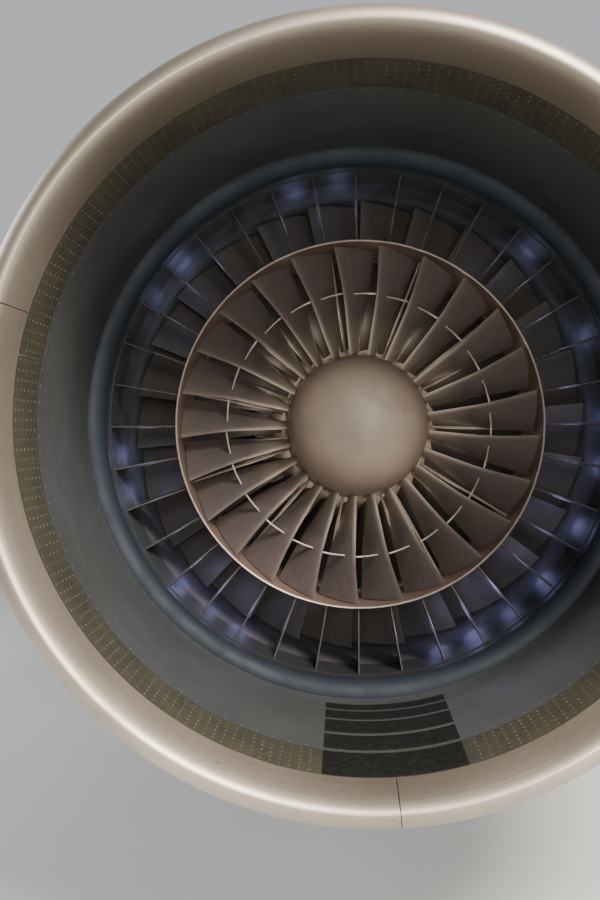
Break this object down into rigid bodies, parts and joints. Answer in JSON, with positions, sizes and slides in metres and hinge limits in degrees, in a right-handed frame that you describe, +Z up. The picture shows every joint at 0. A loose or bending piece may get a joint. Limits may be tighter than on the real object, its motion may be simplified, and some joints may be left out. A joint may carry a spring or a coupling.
{
  "type": "turbofan engine pod",
  "caption": "Large high-bypass turbofan engine in its nacelle: bare metal intake lip, one-and-a-half-stage fan, cowl doors, sliding reverser, exhaust nozzle and pylon stub.",
  "frame": {"origin": "centre of the flat top of the pylon stub, where the wing takes the engine pod", "axes": "+Y aft along the engine's axis, +Z up, +X to the right of someone who faces the intake"},
  "size_m": [2.944, 7.925, 3.1917],
  "materials": {
    "bare_metal": "satin, polished bare metal",
    "band_olive": "matt olive brown",
    "barrel_grey": "satin grey",
    "ring_blue": "semi-gloss blue grey",
    "case_grey": "satin",
    "vane_metal": "satin, edges bright",
    "blade_titanium": "satin titanium, warm grey",
    "spinner_grey": "satin, worn",
    "cowl_paint": "semi-gloss light grey",
    "duct_grey": "satin grey",
    "hot_metal": "heat tinted, satin",
    "block_metal": "satin cast metal",
    "pylon_paint": "semi-gloss light grey",
    "cascade_metal": "satin"
  },
  "bodies": {
    "nacelle": {"intake_lip_right": "bare_metal", "intake_lip_left": "bare_metal", "intake_lip_upper": "bare_metal", "intake_acoustic_band": "band_olive", "intake_inner_barrel": "barrel_grey", "intake_outer_skin": "cowl_paint", "fan_case_front_ring": "ring_blue", "fan_case": "case_grey", "front_vane_frame": "vane_metal", "outlet_vane_frame": "duct_grey", "duct_ring": "case_grey", "duct_inner_wall": "duct_grey", "core_fairing": "cowl_paint", "core_engine_block": "block_metal", "turbine_case": "hot_metal", "turbine_rear_frame": "hot_metal", "exhaust_nozzle": "hot_metal", "exhaust_plug": "hot_metal", "cascade_left": "cascade_metal", "cascade_right": "cascade_metal", "lower_beam": "duct_grey", "pylon_stub": "pylon_paint", "front_mount_yoke": "block_metal", "rear_mount_yoke": "block_metal", "accessory_gearbox": "block_metal", "oil_tank": "block_metal"},
    "low_pressure_spool": {"spinner": "spinner_grey", "half_stage_rotor": "blade_titanium", "full_stage_rotor": "blade_titanium", "low_pressure_shaft": "block_metal", "turbine_rotor": "hot_metal"},
    "fan_cowl_left": {"fan_cowl_door_left": "cowl_paint"},
    "fan_cowl_right": {"fan_cowl_door_right": "cowl_paint"},
    "reverser_left": {"reverser_sleeve_left": "cowl_paint"},
    "reverser_right": {"reverser_sleeve_right": "cowl_paint"},
    "core_cowl_left": {"core_cowl_door_left": "cowl_paint"},
    "core_cowl_right": {"core_cowl_door_right": "cowl_paint"}
  },
  "joints": [
    {"name": "fan_spin", "type": "hinge", "parent": "nacelle", "child": "low_pressure_spool", "pos_m": [0, -1.75, -1.72], "axis": [0, 1, 0], "continuous": true},
    {"name": "fan_cowl_left_open", "type": "hinge", "parent": "nacelle", "child": "fan_cowl_left", "pos_m": [-0.188, -1.47, -0.27], "axis": [0, 1, 0], "range_deg": [0, 50]},
    {"name": "fan_cowl_right_open", "type": "hinge", "parent": "nacelle", "child": "fan_cowl_right", "pos_m": [0.188, -1.47, -0.27], "axis": [0, -1, 0], "range_deg": [0, 50]},
    {"name": "reverser_left_slide", "type": "slide", "parent": "nacelle", "child": "reverser_left", "axis": [0, 1, 0], "range_m": [0, 0.5]},
    {"name": "reverser_right_slide", "type": "slide", "parent": "nacelle", "child": "reverser_right", "axis": [0, 1, 0], "range_m": [0, 0.5]},
    {"name": "core_cowl_left_open", "type": "hinge", "parent": "nacelle", "child": "core_cowl_left", "pos_m": [-0.188, 1.685, -1.033], "axis": [0, 0.9874, -0.1585], "range_deg": [0, 45]},
    {"name": "core_cowl_right_open", "type": "hinge", "parent": "nacelle", "child": "core_cowl_right", "pos_m": [0.188, 1.685, -1.033], "axis": [0, -0.9874, 0.1585], "range_deg": [0, 45]}
  ]
}
